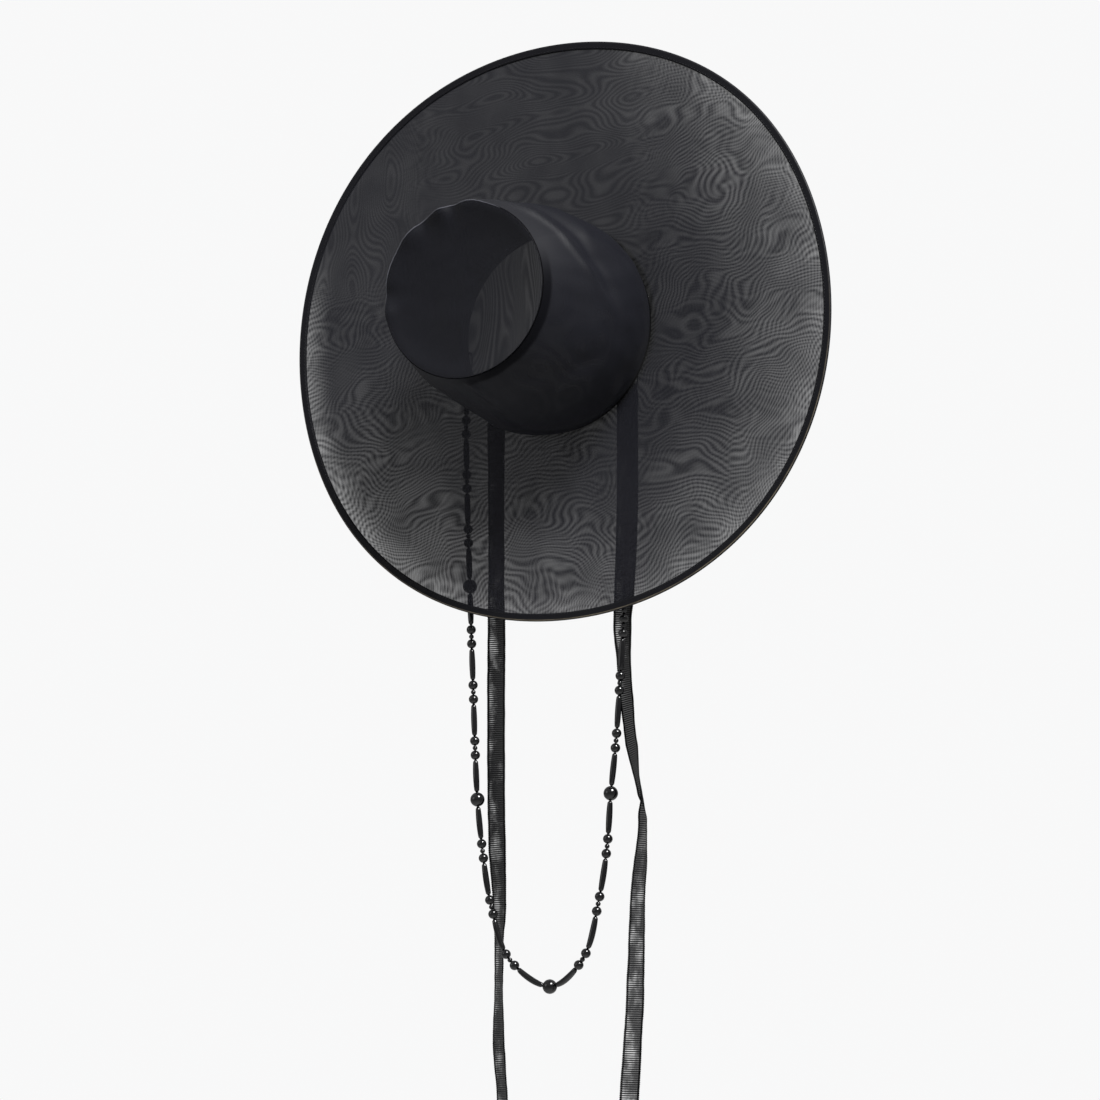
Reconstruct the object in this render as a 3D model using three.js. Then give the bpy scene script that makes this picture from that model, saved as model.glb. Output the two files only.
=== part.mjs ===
// A korean gat: a sheer black hat with a wide flat brim, a soft crown, two tie ribbons and a beaded chin string.
// Millimetres, +Z up. The hat hangs with its brim upright and its crown pointing to -Y, so +Y is the wall's side.
// The origin is the point inside the head opening, at its top, where the hat hangs.
import * as THREE from "three";

const gap = 0.3;

// Brim
const brimRadius = 249.7;
const brimCloth = 1;
const brimDish = 7;
const brimLobes = [
  { order: 2, share: 0.0046, phase: -7 },
  { order: 3, share: 0.0024, phase: -145 },
  { order: 4, share: 0.0083, phase: -164 },
];
const brimWaves = [
  { order: 2, height: 1.2, phase: 30 },
  { order: 3, height: 0.9, phase: 100 },
  { order: 5, height: 0.5, phase: -40 },
];
const brimRings = [0, 0.3, 0.65, 1];

// Binding, a tape folded over the brim's wire edge
const bindingWidth = 6.5;
const bindingTape = 0.7;
const bindingWire = 1.8;

// Crown
const crownFootRadius = 87.2;
const crownTopRadius = 70.8;
const crownHeight = 163;
const crownWall = 1.2;
const crownBulge = 11.5;
const crownLean = { x: -2.2, z: 1.4 };
const crownSag = { x: 8.2, z: -4.2 };
const crownRings = [0, 0.12, 0.3, 0.5, 0.7, 0.86, 1];
const crownSeam = 1.1;
const foldsFrom = 0.125;
const puckerPower = 6;
const crownFolds = [
  { angle: 84, share: 0.9, wide: 9, tall: 0.14, out: 0.028 },
  { angle: 62, share: 0.72, wide: 10, tall: 0.14, out: 0.03 },
  { angle: 40, share: 0.52, wide: 10, tall: 0.14, out: 0.028 },
  { angle: 20, share: 0.34, wide: 10, tall: 0.13, out: 0.022 },
  { angle: 96, share: 0.55, wide: 16, tall: 0.2, out: -0.026 },
  { angle: 12, share: 0.7, wide: 18, tall: 0.2, out: -0.02 },
  { angle: 238, share: 0.5, wide: 14, tall: 0.22, out: -0.035 },
  { angle: 262, share: 0.62, wide: 11, tall: 0.2, out: 0.022 },
  { angle: 186, share: 0.8, wide: 12, tall: 0.16, out: -0.03 },
  { angle: 150, share: 0.55, wide: 16, tall: 0.22, out: 0.02 },
];
const topHollow = 5;
const topHollowPower = 4;
const topSeamShare = 0.96;
const topRings = [0.35, 0.7, topSeamShare, 1];
const topPuckers = [
  { angle: 98, wide: 5, rise: -2.6 },
  { angle: 108, wide: 5, rise: 2.2 },
  { angle: 121, wide: 6, rise: -2.8 },
  { angle: 136, wide: 7, rise: 1.8 },
  { angle: 177, wide: 6, rise: -2.6 },
  { angle: 190, wide: 6, rise: 1.6 },
];

// Headband, a narrow tape inside the crown's foot
const headbandWidth = 8;
const headbandTape = 1;
const hangRadius = crownFootRadius - crownWall - gap - headbandTape;

// Ribbons. Each row is a point of the middle line, from the head opening's middle, with the way the ribbon faces:
// turn swings its width about the vertical, and tip slopes its width down to the right.
const ribbonWidth = 18;
const ribbonCloth = 1;
const ribbonStep = 12;
const ribbonLeft = [
  { x: -59.2, y: -7, z: -58.8, turn: 0, tip: 45 },
  { x: -59.2, y: 1.5, z: -58.8, turn: 0, tip: 45 },
  { x: -59.8, y: 6, z: -61.5, turn: 0, tip: 40 },
  { x: -63.4, y: 12, z: -76, turn: -5, tip: 16 },
  { x: -64.3, y: 14, z: -105, turn: -12, tip: 0 },
  { x: -64.4, y: 14.5, z: -150, turn: -14, tip: 0 },
  { x: -64.1, y: 14.5, z: -222, turn: -14, tip: 0 },
  { x: -64, y: 14.5, z: -245, turn: -7, tip: 0 },
  { x: -64.1, y: 14.5, z: -300, turn: -5, tip: 0 },
  { x: -64.2, y: 15, z: -370, turn: -7, tip: 0 },
  { x: -63.2, y: 15, z: -425, turn: -9, tip: 0 },
  { x: -60.8, y: 15, z: -475, turn: -23, tip: 0 },
  { x: -61, y: 15, z: -516, turn: -39, tip: 0 },
  { x: -60.8, y: 14, z: -557, turn: -40, tip: 0 },
  { x: -60.4, y: 14, z: -593, turn: -29, tip: 0 },
  { x: -57.6, y: 14, z: -630, turn: -33, tip: 0 },
  { x: -56.6, y: 14, z: -655, turn: -34, tip: 0 },
];
const ribbonRight = [
  { x: 63.2, y: -7, z: -54.4, turn: 0, tip: -49.3 },
  { x: 63.2, y: 1.5, z: -54.4, turn: 0, tip: -49.3 },
  { x: 62.6, y: 6.5, z: -57, turn: 0, tip: -45 },
  { x: 59.8, y: 12, z: -68, turn: 4, tip: -20 },
  { x: 58.9, y: 14, z: -90, turn: 14, tip: 0 },
  { x: 58.6, y: 14, z: -147, turn: 16, tip: 0 },
  { x: 56.7, y: 14.5, z: -195, turn: 8, tip: 0 },
  { x: 54.7, y: 15, z: -226, turn: 0, tip: 0 },
  { x: 53.1, y: 15, z: -247, turn: -9, tip: 0 },
  { x: 54.4, y: 15, z: -280, turn: -24, tip: 0 },
  { x: 56.9, y: 15, z: -313, turn: -28, tip: 0 },
  { x: 61, y: 14, z: -346, turn: -35, tip: 0 },
  { x: 68.9, y: 12, z: -386, turn: -55, tip: 0 },
  { x: 72, y: 12, z: -411, turn: -88, tip: 0 },
  { x: 67.4, y: 12, z: -475, turn: -107, tip: 0 },
  { x: 64.5, y: 12, z: -556, turn: -118, tip: 0 },
  { x: 59.5, y: 12, z: -628, turn: -125, tip: 0 },
  { x: 57.6, y: 12, z: -655, turn: -126, tip: 0 },
];

// Bead string. Its route is from the head opening's middle, left end first. The lowest point holds the middle bead.
const stringRoute = [
  [-82.7, -2.5, -11],
  [-83, 4.5, -12.4],
  [-87.4, 8.2, -34],
  [-90.2, 8.2, -61],
  [-89.6, 8.2, -114],
  [-88, 8, -162],
  [-86.2, 8, -208],
  [-84, 7, -251],
  [-81.4, 6, -300],
  [-79, 5, -347],
  [-76.6, 5, -390],
  [-71.8, 5, -432],
  [-63.4, 5, -479],
  [-46.4, 5, -523],
  [-9.4, 6, -545.3],
  [26.6, -4, -521],
  [37.6, 0, -478],
  [43.8, 4, -432],
  [46.2, 6, -390],
  [51.2, 6, -346],
  [54.8, 6, -299],
  [58.2, 6, -250],
  [60.6, 6.5, -206],
  [62.4, 7, -160],
  [64, 7, -110],
  [66.8, 7, -78],
  [70.4, 6.6, -57],
  [73, 3.5, -41.2],
  [72.6, -2.5, -40.8],
];
const lowestPoint = 14;
const threadRadius = 0.9;
const threadStep = 4;
const stringSides = 10;
const stretches = [3, 3, 3, 3, 3, 2];
const pairGap = 4;
const largeBead = { radius: 6, length: 12, outline: [[0.1, 0.6], [0.3, 0.92], [0.5, 1], [0.7, 0.92], [0.9, 0.6]] };
const roundBead = { radius: 4, length: 8, outline: [[0.15, 0.72], [0.5, 1], [0.85, 0.72]] };
const tubeBead = { radius: 2.6, length: 27.2, outline: [[0.01, 0.7], [0.5, 1], [0.99, 0.7]] };

const stepsAround = 56;
const radians = THREE.MathUtils.degToRad;

function material(color, roughness) {
  return new THREE.MeshStandardMaterial({ color, roughness, metalness: 0 });
}

// One closed body through loops of points. Joined loops close on the first; otherwise both ends are capped.
function bodyThrough(loops, joined) {
  const count = loops[0].length;
  const points = loops.flat();
  const faces = [];
  const rows = joined ? loops.length : loops.length - 1;
  for (let row = 0; row < rows; row++) {
    const here = row * count;
    const there = ((row + 1) % loops.length) * count;
    for (let i = 0; i < count; i++) {
      const next = (i + 1) % count;
      faces.push([here + i, there + i, there + next], [here + i, there + next, here + next]);
    }
  }
  if (!joined) {
    for (const [loop, flipped] of [[0, false], [loops.length - 1, true]]) {
      const middle = points.length;
      points.push(middleOf(loops[loop]));
      for (let i = 0; i < count; i++) {
        const edge = [loop * count + i, loop * count + (i + 1) % count];
        faces.push(flipped ? [edge[1], edge[0], middle] : [edge[0], edge[1], middle]);
      }
    }
  }
  return facingOut(points, faces);
}

function middleOf(loop) {
  const sum = new THREE.Vector3();
  loop.forEach((point) => sum.add(point));
  return sum.divideScalar(loop.length);
}

function facingOut(points, faces) {
  let volume = 0;
  for (const [a, b, c] of faces) {
    volume += points[a].dot(new THREE.Vector3().crossVectors(points[b], points[c]));
  }
  const order = volume > 0 ? faces : faces.map(([a, b, c]) => [a, c, b]);
  const geometry = new THREE.BufferGeometry().setFromPoints(points);
  geometry.setIndex(order.flat());
  geometry.computeVertexNormals();
  return geometry;
}

function aroundTheHat(sectionAt) {
  const angles = Array.from({ length: stepsAround }, (_, step) => (step / stepsAround) * 2 * Math.PI);
  return angles.map(sectionAt);
}

function place(angle, radius, y) {
  return new THREE.Vector3(radius * Math.cos(angle), y, radius * Math.sin(angle));
}

function rimRadius(angle) {
  const lobe = (sum, { order, share, phase }) => sum + share * Math.cos(order * angle - radians(phase));
  return brimRadius * (1 + brimLobes.reduce(lobe, 0));
}

// The middle of the brim's cloth, at a radius: dished toward the crown, with slow waves that grow to the rim.
function brimMiddle(angle, radius) {
  const share = (radius - crownFootRadius) / (rimRadius(angle) - crownFootRadius);
  const wave = (sum, { order, height, phase }) => sum + height * Math.cos(order * angle - radians(phase));
  return -brimDish * share + share * share * brimWaves.reduce(wave, 0);
}

function brim() {
  const inner = crownFootRadius + gap;
  return bodyThrough(aroundTheHat((angle) => {
    const outer = rimRadius(angle) - bindingWire - gap;
    const face = (side) => brimRings.map((share) => {
      const radius = inner + share * (outer - inner);
      return place(angle, radius, brimMiddle(angle, radius) + side * brimCloth / 2);
    });
    return [...face(-1), ...face(1).reverse()];
  }), true);
}

function brimBinding() {
  const slot = brimCloth / 2 + gap;
  const face = slot + bindingTape;
  const section = [
    [bindingWidth, -face],
    [bindingWire, -face],
    [0, -face / 2],
    [0, face / 2],
    [bindingWire, face],
    [bindingWidth, face],
    [bindingWidth, slot],
    [bindingWire, slot],
    [bindingWire, -slot],
    [bindingWidth, -slot],
  ];
  return bodyThrough(aroundTheHat((angle) => section.map(([inset, offset]) => {
    const radius = rimRadius(angle) - inset;
    return place(angle, radius, brimMiddle(angle, radius) + offset);
  })), true);
}

function bell(distance, width) {
  return Math.exp(-((distance / width) ** 2));
}

function angleBetween(angle, degrees) {
  const difference = angle - radians(degrees);
  return Math.atan2(Math.sin(difference), Math.cos(difference));
}

function foldOut(angle, share) {
  return crownFootRadius * crownFolds.reduce((sum, fold) => sum
    + fold.out * bell(angleBetween(angle, fold.angle), radians(fold.wide)) * bell(share - fold.share, fold.tall), 0);
}

function puckerRise(angle) {
  return topPuckers.reduce((sum, pucker) => sum
    + pucker.rise * bell(angleBetween(angle, pucker.angle), radians(pucker.wide)), 0);
}

// A point of the crown's wall, inset from its outer face and depth behind it. Share 0 is the foot, 1 the top seam.
// The swell is 0 at both ends and 1 halfway.
function crownPoint(angle, share, inset, depth = 0) {
  const swell = 4 * share * (1 - share);
  const radius = THREE.MathUtils.lerp(crownFootRadius, crownTopRadius, share) + crownBulge * swell
    + foldOut(angle, share) * Math.min(1, share / foldsFrom) - inset;
  const rise = share ** puckerPower * puckerRise(angle);
  const point = place(angle, radius, -share * crownHeight - rise + depth);
  point.x += crownLean.x * share + crownSag.x * swell;
  point.z += crownLean.z * share + crownSag.z * swell;
  return point;
}

function crownSide() {
  const top = crownSeam + gap;
  return bodyThrough(aroundTheHat((angle) => {
    const face = (inset) => [
      place(angle, crownFootRadius - inset, brimCloth / 2),
      ...crownRings.map((share) => crownPoint(angle, share, inset, top * share)),
    ];
    return [...face(0), ...face(crownWall).reverse()];
  }), true);
}

// The top panel from its middle to the seam. Inside the seam its puckers fade, and its middle has sunk in.
function crownTop() {
  const middle = crownPoint(0, 1, crownTopRadius);
  const across = (share, depth) => aroundTheHat((angle) => {
    const inside = Math.min(1, share / topSeamShare) ** topHollowPower;
    const fade = puckerRise(angle) * (share - inside);
    const hollow = topHollow * (1 - inside);
    return crownPoint(angle, 1, 0, 0).sub(middle).multiplyScalar(share).add(middle)
      .add(new THREE.Vector3(0, depth + hollow + fade, 0));
  });
  const outer = topRings.map((share) => across(share, 0));
  const inner = topRings.map((share) => across(share, crownSeam)).reverse();
  return bodyThrough([...outer, ...inner], false);
}

function headband() {
  const outer = crownWall + gap;
  const inner = outer + headbandTape;
  const reach = headbandWidth / crownHeight;
  return bodyThrough(aroundTheHat((angle) => [
    place(angle, crownFootRadius - outer, brimCloth / 2),
    crownPoint(angle, reach, outer),
    crownPoint(angle, reach, inner),
    place(angle, crownFootRadius - inner, brimCloth / 2),
  ]), true);
}

function middleAt({ x, y, z }) {
  return new THREE.Vector3(x, y, z);
}

function ribbon(rows) {
  const line = new THREE.CatmullRomCurve3(rows.map(middleAt), false, "centripetal");
  const facing = new THREE.CatmullRomCurve3(rows.map(({ turn, tip }) => new THREE.Vector3(turn, tip, 0)));
  const corners = [[-1, -1], [1, -1], [1, 1], [-1, 1]];
  const shares = rows.slice(1).flatMap((row, index) => {
    const steps = Math.max(2, Math.round(middleAt(row).distanceTo(middleAt(rows[index])) / ribbonStep));
    return Array.from({ length: steps }, (_, step) => (index + step / steps) / (rows.length - 1));
  });
  const loops = [...shares, 1].map((t) => {
    const middle = line.getPoint(t);
    const along = line.getTangent(t);
    const { x: turn, y: tip } = facing.getPoint(t);
    const wide = new THREE.Vector3(Math.cos(radians(turn)) * Math.cos(radians(tip)), Math.sin(radians(turn)),
      -Math.cos(radians(turn)) * Math.sin(radians(tip)));
    wide.addScaledVector(along, -wide.dot(along)).normalize();
    const thick = new THREE.Vector3().crossVectors(along, wide);
    return corners.map(([side, face]) => middle.clone()
      .addScaledVector(wide, side * ribbonWidth / 2)
      .addScaledVector(thick, face * ribbonCloth / 2));
  });
  return bodyThrough(loops, false);
}

// The beads along the string as stretches of tube and pair, parted by the large beads. Each has its start.
function beadRow(middle) {
  const row = [];
  let reach = 0;
  const add = (bead) => {
    row.push({ bead, start: reach });
    reach += bead.length;
  };
  stretches.forEach((pairs, index) => {
    if (index > 0) {
      add(largeBead);
    }
    add(tubeBead);
    for (let pair = 0; pair < pairs; pair++) {
      add(roundBead);
      reach += pairGap;
      add(roundBead);
      add(tubeBead);
    }
  });
  const large = row.filter(({ bead }) => bead === largeBead);
  const { start } = large[(large.length - 1) / 2];
  const shift = middle - start - largeBead.length / 2;
  return row.map(({ bead, start: place }) => ({ bead, start: place + shift }));
}

function plainThread(from, to) {
  const steps = Math.ceil((to - from) / threadStep);
  const inside = Array.from({ length: steps - 1 }, (_, step) => step + 1);
  const ends = from === 0 ? [0, ...inside] : [...inside, steps];
  return ends.map((step) => ({ at: from + (to - from) * step / steps, radius: threadRadius }));
}

// The string's rings at one bead. A bead that touches the one before it shares that bead's last ring.
function beadRings({ bead, start }, index, row) {
  const before = row[index - 1];
  const touches = before && start - before.start - before.bead.length < gap;
  const outline = bead.outline.map(([share, swell]) => ({ at: start + share * bead.length, radius: swell * bead.radius }));
  const ends = [start, start + bead.length].map((at) => ({ at, radius: threadRadius }));
  return touches ? [...outline, ends[1]] : [ends[0], ...outline, ends[1]];
}

function beadString() {
  const points = stringRoute.map(([x, y, z]) => new THREE.Vector3(x, y, z));
  const line = new THREE.CatmullRomCurve3(points, false, "centripetal");
  line.arcLengthDivisions = 1200;
  const length = line.getLength();
  const lengths = line.getLengths();
  const middle = lengths[Math.round(lowestPoint / (points.length - 1) * line.arcLengthDivisions)];
  const row = beadRow(middle);
  const last = row[row.length - 1];
  const rings = [...plainThread(0, row[0].start), ...row.flatMap(beadRings),
    ...plainThread(last.start + last.bead.length, length)];
  return bodyThrough(rings.map(({ at, radius }) => {
    const share = THREE.MathUtils.clamp(at / length, 0, 1);
    const centre = line.getPointAt(share);
    const along = line.getTangentAt(share);
    const wide = new THREE.Vector3(0, 1, 0).addScaledVector(along, -along.y).normalize();
    const thick = new THREE.Vector3().crossVectors(along, wide);
    return Array.from({ length: stringSides }, (_, side) => {
      const angle = (side / stringSides) * 2 * Math.PI;
      return centre.clone().addScaledVector(wide, radius * Math.cos(angle))
        .addScaledVector(thick, radius * Math.sin(angle));
    });
  }), false);
}

const pieces = [
  ["brim", brim(), material(0x2a2a2e, 0.85)],
  ["brim_binding", brimBinding(), material(0x151518, 0.7)],
  ["crown_side", crownSide(), material(0x1c1c20, 0.8)],
  ["crown_top", crownTop(), material(0x19191c, 0.8)],
  ["headband", headband(), material(0x101012, 0.8)],
  ["ribbon_left", ribbon(ribbonLeft), material(0x1d1d20, 0.5)],
  ["ribbon_right", ribbon(ribbonRight), material(0x1d1d20, 0.5)],
  ["bead_string", beadString(), material(0x08080a, 0.2)],
];

const gat = new THREE.Group();
gat.position.z = -hangRadius;
for (const [name, geometry, finish] of pieces) {
  const mesh = new THREE.Mesh(geometry, finish);
  mesh.name = name;
  gat.add(mesh);
}

export default gat;
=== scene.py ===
"""A korean gat hung by its head opening: a sheer bound brim, a soft crown, two tie ribbons and a beaded chin string."""
import bisect
from collections import namedtuple
from math import asin, atan2, copysign, cos, degrees, exp, hypot, pi, radians, sin, sqrt

import bmesh
import bpy
from bpy.props import FloatProperty, FloatVectorProperty, PointerProperty
from mathutils import Matrix, Vector, noise


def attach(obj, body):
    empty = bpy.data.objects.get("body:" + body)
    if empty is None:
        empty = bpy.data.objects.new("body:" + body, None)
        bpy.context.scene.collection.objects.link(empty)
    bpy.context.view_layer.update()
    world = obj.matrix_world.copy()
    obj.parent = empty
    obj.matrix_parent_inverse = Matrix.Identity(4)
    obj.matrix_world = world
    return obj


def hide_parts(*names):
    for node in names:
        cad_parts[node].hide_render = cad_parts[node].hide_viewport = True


bl_info = {
    "name": "Korean gat",
    "version": (1, 0, 0),
    "blender": (4, 5, 0),
    "location": "View3D > Sidebar > Gat",
    "description": "Dresses the frame of a korean gat in gauze, tape, ribbon and beads",
    "category": "Object",
}

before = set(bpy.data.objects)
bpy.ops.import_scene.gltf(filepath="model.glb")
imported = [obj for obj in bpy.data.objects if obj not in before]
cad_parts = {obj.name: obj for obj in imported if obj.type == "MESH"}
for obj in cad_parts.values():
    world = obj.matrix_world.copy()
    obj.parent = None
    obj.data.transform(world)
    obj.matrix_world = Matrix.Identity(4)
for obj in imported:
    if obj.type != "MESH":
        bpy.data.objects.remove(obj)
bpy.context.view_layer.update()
MM = 0.001
FULL_TURN = 2 * pi
BODY = "root"
GAP = 0.3 * MM

# Where the photograph was taken from, with its focal length and its width in pixels.
CAMERA_AZIMUTH = radians(26.5)
CAMERA_RISE = radians(-8)
CAMERA_TARGET = Vector((-0.0062, 0, -0.2702))
CAMERA_DISTANCE = 2.3
FOCAL_PIXELS = 2758
FRAME_PIXELS = 1100
SENSOR = 36
LENS = FOCAL_PIXELS / FRAME_PIXELS * SENSOR
# Each light's name, place, size and power.
LIGHTS = (("key_light", (1.9, -1.1, 1.9), 1.1, 210), ("fill_light", (-2.2, -2.2, 0.4), 1.6, 10))
LIGHT_AIM = Vector((0, 0, -0.2))
FLOOR_REACH = 24
FLOOR_HEIGHT = -3.2

Wave = namedtuple("Wave", "order size phase")
Fold = namedtuple("Fold", "angle share wide tall out")
Pucker = namedtuple("Pucker", "angle wide rise")
Crease = namedtuple("Crease", "through wide out")

# The rim is slightly out of round, and the brim's cloth waves slowly.
BRIM_LOBES = (Wave(2, 0.0046, -7), Wave(3, 0.0024, -145), Wave(4, 0.0083, -164))
BRIM_WAVES = (Wave(2, 1.2 * MM, 30), Wave(3, 0.9 * MM, 100), Wave(5, 0.5 * MM, -40))
# Each fold has its angle round the crown and its share of the crown's height, how wide it is in degrees and how tall
# as a share, and how far it stands out, as a share of the foot's radius.
CROWN_FOLDS = (
    Fold(84, 0.9, 9, 0.14, 0.028), Fold(62, 0.72, 10, 0.14, 0.03), Fold(40, 0.52, 10, 0.14, 0.028),
    Fold(20, 0.34, 10, 0.13, 0.022), Fold(96, 0.55, 16, 0.2, -0.026), Fold(12, 0.7, 18, 0.2, -0.02),
    Fold(238, 0.5, 14, 0.22, -0.035), Fold(262, 0.62, 11, 0.2, 0.022), Fold(186, 0.8, 12, 0.16, -0.03),
    Fold(150, 0.55, 16, 0.22, 0.02),
)
TOP_PUCKERS = (
    Pucker(98, 5, -2.6 * MM), Pucker(108, 5, 2.2 * MM), Pucker(121, 6, -2.8 * MM),
    Pucker(136, 7, 1.8 * MM), Pucker(177, 6, -2.6 * MM), Pucker(190, 6, 1.6 * MM),
)
# Sharper creases in the crown's wall, each through pairs of angle and share of the crown's height.
CROWN_CREASES = (
    Crease(((74, 0.95), (59, 0.89), (40, 0.82), (28, 0.79), (11, 0.71), (-4, 0.59), (-13, 0.51)), 4 * MM, 2.5 * MM),
    Crease(((60, 0.76), (42, 0.7), (26, 0.65), (6, 0.56), (-6, 0.5)), 6 * MM, -2.4 * MM),
    Crease(((60, 0.62), (36, 0.6), (25, 0.45), (14, 0.36)), 7 * MM, 1.1 * MM),
    Crease(((-89, 0.97), (-85, 0.81), (-83, 0.6)), 5 * MM, 1.8 * MM),
    Crease(((-60, 0.9), (-45, 0.7), (-20, 0.5)), 10 * MM, -1.8 * MM),
)
# Soft noises, each with its height and how fine it is.
WALL_CRUMPLES = ((2.4 * MM, 1), (0.9 * MM, 2.9))
PANEL_CRUMPLES = ((1.5 * MM, 26), (0.35 * MM, 80))
CRUMPLES_ROUND = 2.2
CRUMPLES_TALL = 2.4
CROWN_LEAN = Vector((-2.2, 0, 1.4)) * MM
CROWN_SAG = Vector((8.2, 0, -4.2)) * MM
FOLDS_FROM = 0.125
PUCKER_POWER = 6
PUCKER_FADE = 9
TOP_SEAM_SHARE = 0.96
TOP_HOLLOW_POWER = 4
CROWN_SEAM = 1.1 * MM
# Where the top seam is gathered, and where the fold beside it has its painted highlight, in degrees round the crown.
GATHERED_AT = 125
STEPS_ROUND = 288
UP = (0, 0, 1)

# Bands to a unit in a wave texture of scale 1.
BANDS_TO_UNIT = 3.2
WEAVE_PITCH = 0.6 * MM
RIB_PITCH = 1.75 * MM
SELVAGE = 1.2 * MM

# Each row is a point of a ribbon's middle line, in millimetres from the head opening's middle, with the way that the
# ribbon faces there: turn swings its width about the vertical, and tip slopes its width down to the right.
RIBBONS = {
    "ribbon_left": (
        (-59.2, -7, -58.8, 0, 45), (-59.2, 1.5, -58.8, 0, 45), (-59.8, 6, -61.5, 0, 40), (-63.4, 12, -76, -5, 16),
        (-64.3, 14, -105, -12, 0), (-64.4, 14.5, -150, -14, 0), (-64.1, 14.5, -222, -14, 0), (-64, 14.5, -245, -7, 0),
        (-64.1, 14.5, -300, -5, 0), (-64.2, 15, -370, -7, 0), (-63.2, 15, -425, -9, 0), (-60.8, 15, -475, -23, 0),
        (-61, 15, -516, -39, 0), (-60.8, 14, -557, -40, 0), (-60.4, 14, -593, -29, 0), (-57.6, 14, -630, -33, 0),
        (-56.6, 14, -655, -34, 0),
    ),
    "ribbon_right": (
        (63.2, -7, -54.4, 0, -49.3), (63.2, 1.5, -54.4, 0, -49.3), (62.6, 6.5, -57, 0, -45), (59.8, 12, -68, 4, -20),
        (58.9, 14, -90, 14, 0), (58.6, 14, -147, 16, 0), (56.7, 14.5, -195, 8, 0), (54.7, 15, -226, 0, 0),
        (53.1, 15, -247, -9, 0), (54.4, 15, -280, -24, 0), (56.9, 15, -313, -28, 0), (61, 14, -346, -35, 0),
        (68.9, 12, -386, -55, 0), (72, 12, -411, -88, 0), (67.4, 12, -475, -107, 0), (64.5, 12, -556, -118, 0),
        (59.5, 12, -628, -125, 0), (57.6, 12, -655, -126, 0),
    ),
}
# The chin string's route in millimetres from the head opening's middle, left end first.
STRING_ROUTE = (
    (-82.7, -2.5, -11), (-83, 4.5, -12.4), (-87.4, 8.2, -34), (-90.2, 8.2, -61), (-89.6, 8.2, -114),
    (-88, 8, -162), (-86.2, 8, -208), (-84, 7, -251), (-81.4, 6, -300), (-79, 5, -347),
    (-76.6, 5, -390), (-71.8, 5, -432), (-63.4, 5, -479), (-46.4, 5, -523), (-9.4, 6, -545.3),
    (26.6, -4, -521), (37.6, 0, -478), (43.8, 4, -432), (46.2, 6, -390), (51.2, 6, -346),
    (54.8, 6, -299), (58.2, 6, -250), (60.6, 6.5, -206), (62.4, 7, -160), (64, 7, -110),
    (66.8, 7, -78), (70.4, 6.6, -57), (73, 3.5, -41.2), (72.6, -2.5, -40.8),
)
LOWEST_POINT = 14
PAIRS_IN_STRETCHES = (3, 3, 3, 3, 3, 2)
ROUTE_STEPS = 24


def length(name, millimetres, description):
    """A size that a user may change, given here in millimetres."""
    return FloatProperty(name=name, description=description, default=millimetres * MM, unit="LENGTH", precision=4)


def colour(name, value, description):
    return FloatVectorProperty(name=name, description=description, default=value, size=3, min=0, max=1, subtype="COLOR")


class GatSizes(bpy.types.PropertyGroup):
    hang_radius: length("Hang radius", 84.7, "From the hang point down to the head opening's middle")
    brim_radius: length("Brim radius", 249.7, "From the head opening's middle to the rim, on average")
    brim_cloth: length("Brim cloth", 1, "The brim's two layers with the air between them")
    brim_dish: length("Brim dish", 7, "How far the rim lies forward of the crown's foot")
    binding_width: length("Binding width", 6.5, "Width of the tape folded over the rim")
    binding_tape: length("Binding tape", 0.7, "Thickness of the binding's tape")
    binding_wire: length("Binding wire", 1.8, "How far the wire in the rim reaches in")
    foot_radius: length("Crown foot radius", 87.2, "Outer radius of the crown at the brim")
    top_radius: length("Crown top radius", 70.8, "Outer radius of the crown at its top seam")
    crown_height: length("Crown height", 163, "From the brim to the top seam")
    crown_bulge: length("Crown bulge", 11.5, "How far the crown's wall swells between foot and top")
    crown_wall: length("Crown wall", 1.2, "The crown's two layers with the air between them")
    top_hollow: length("Top hollow", 5, "How far the top panel's middle has sunk")
    headband_width: length("Headband width", 8, "Width of the tape inside the crown's foot")
    ribbon_width: length("Ribbon width", 18, "Width of the tie ribbons")
    large_bead: length("Large bead", 12, "Diameter of the large beads")
    round_bead: length("Round bead", 8, "Diameter of the paired beads")
    seed_bead: length("Seed bead", 4.2, "Diameter of the bead between a pair")
    tube_bead: length("Tube bead", 27.2, "Length of the tube beads")


class GatColours(bpy.types.PropertyGroup):
    gauze: colour("Gauze", (0.0078, 0.008, 0.0112), "The brim's sheer cloth")
    crown: colour("Crown", (0.006, 0.0062, 0.0086), "The crown's soft cloth")
    tape: colour("Tape", (0.003, 0.003, 0.0046), "The binding and the headband")
    # A painted highlight: the lighter brown on the roll of the binding over the wire.
    worn_and_lit: colour("Worn tape", (0.1, 0.085, 0.06), "The binding where it is worn along the wire")
    # The seam's colour is also the painted shade at the crown wall's foot and by its hem.
    seam: colour("Seam", (0.001, 0.001, 0.0012), "The welt round the crown's top")
    # A painted highlight: the colour of the fold beside the welt where the cloth is gathered.
    fold: colour("Fold", (0.075, 0.076, 0.088), "The fold of thin cloth beside the welt")
    ribbon: colour("Ribbon", (0.008, 0.008, 0.0088), "The tie ribbons")
    bead: colour("Bead", (0.002, 0.002, 0.0025), "The beads and their thread")
    background: colour("Background", (0.94, 0.941, 0.943), "The pale surroundings")


def sizes():
    return bpy.context.scene.gat_sizes


def colours():
    return bpy.context.scene.gat_colours


def opening_middle():
    return Vector((0, 0, -sizes().hang_radius))


def at(angle, radius, y):
    return Vector((radius * cos(angle), y, radius * sin(angle)))


def round_axis(point, core=0):
    """The point's angle round the hat's axis, and how far out it is from a core of this radius."""
    return atan2(point.z, point.x), hypot(point.x, point.z) - core


def angle_between(angle, heading):
    difference = angle - radians(heading)
    return atan2(sin(difference), cos(difference))


def bell(distance, width):
    """1 at no distance, falling smoothly to nothing over the width."""
    return exp(-((distance / width) ** 2))


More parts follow.
